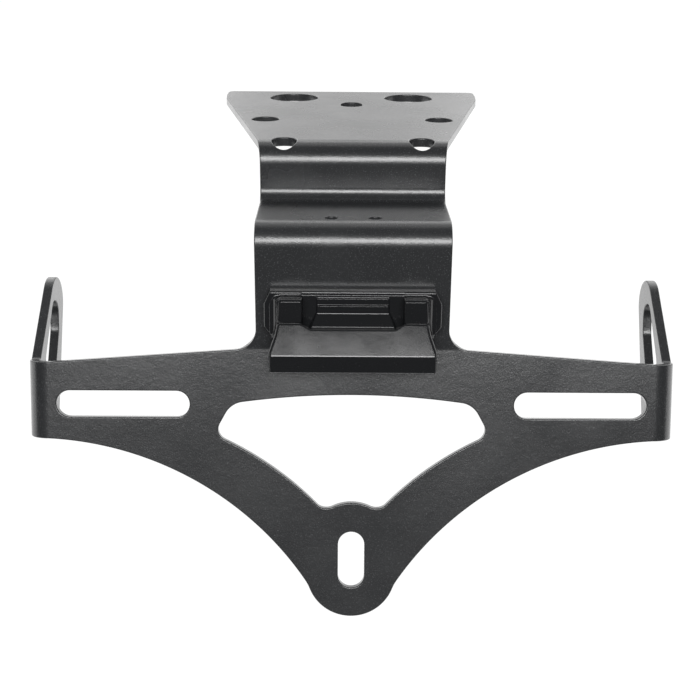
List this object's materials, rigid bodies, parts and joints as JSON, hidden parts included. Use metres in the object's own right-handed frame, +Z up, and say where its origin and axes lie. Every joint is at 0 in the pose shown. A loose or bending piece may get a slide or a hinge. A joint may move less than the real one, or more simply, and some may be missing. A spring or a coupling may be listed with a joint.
{
  "type": "tail tidy",
  "caption": "Folded black steel number plate carrier for the back of a motorcycle, with slotted wings, indicator ears and a small hooded lamp.",
  "frame": {"origin": "middle of the two tail bolt holes, on the upper face of the top plate", "axes": "+X to the right, +Y forward along the motorcycle, away from the number plate, +Z up, square to the top plate"},
  "size_m": [0.1716, 0.1383, 0.1196],
  "materials": {
    "bracket_coat": "semi-gloss black powder coat on steel",
    "black_rubber": "matte black rubber",
    "lamp_black": "glossy black moulded plastic",
    "clear_lens": "clear polished plastic",
    "tray_white": "satin white plastic",
    "board_green": "green solder mask",
    "led_yellow": "yellow phosphor in a white frame",
    "zinc_steel": "bright zinc plated steel",
    "spring_steel": "zinc plated spring steel"
  },
  "bodies": {
    "root": {"bracket": "bracket_coat", "lamp_gasket": "black_rubber", "lamp_housing": "lamp_black", "lamp_lens": "clear_lens", "led_tray": "tray_white", "led_board": "board_green", "led_left": "led_yellow", "led_middle": "led_yellow", "led_right": "led_yellow", "board_screw_left": "zinc_steel", "board_screw_right": "zinc_steel", "stud_left": "zinc_steel", "stud_right": "zinc_steel", "washer_left": "zinc_steel", "washer_right": "zinc_steel", "spring_washer_left": "spring_steel", "spring_washer_right": "spring_steel", "nut_left": "zinc_steel", "nut_right": "zinc_steel", "cable_gland": "black_rubber"}
  },
  "joints": []
}
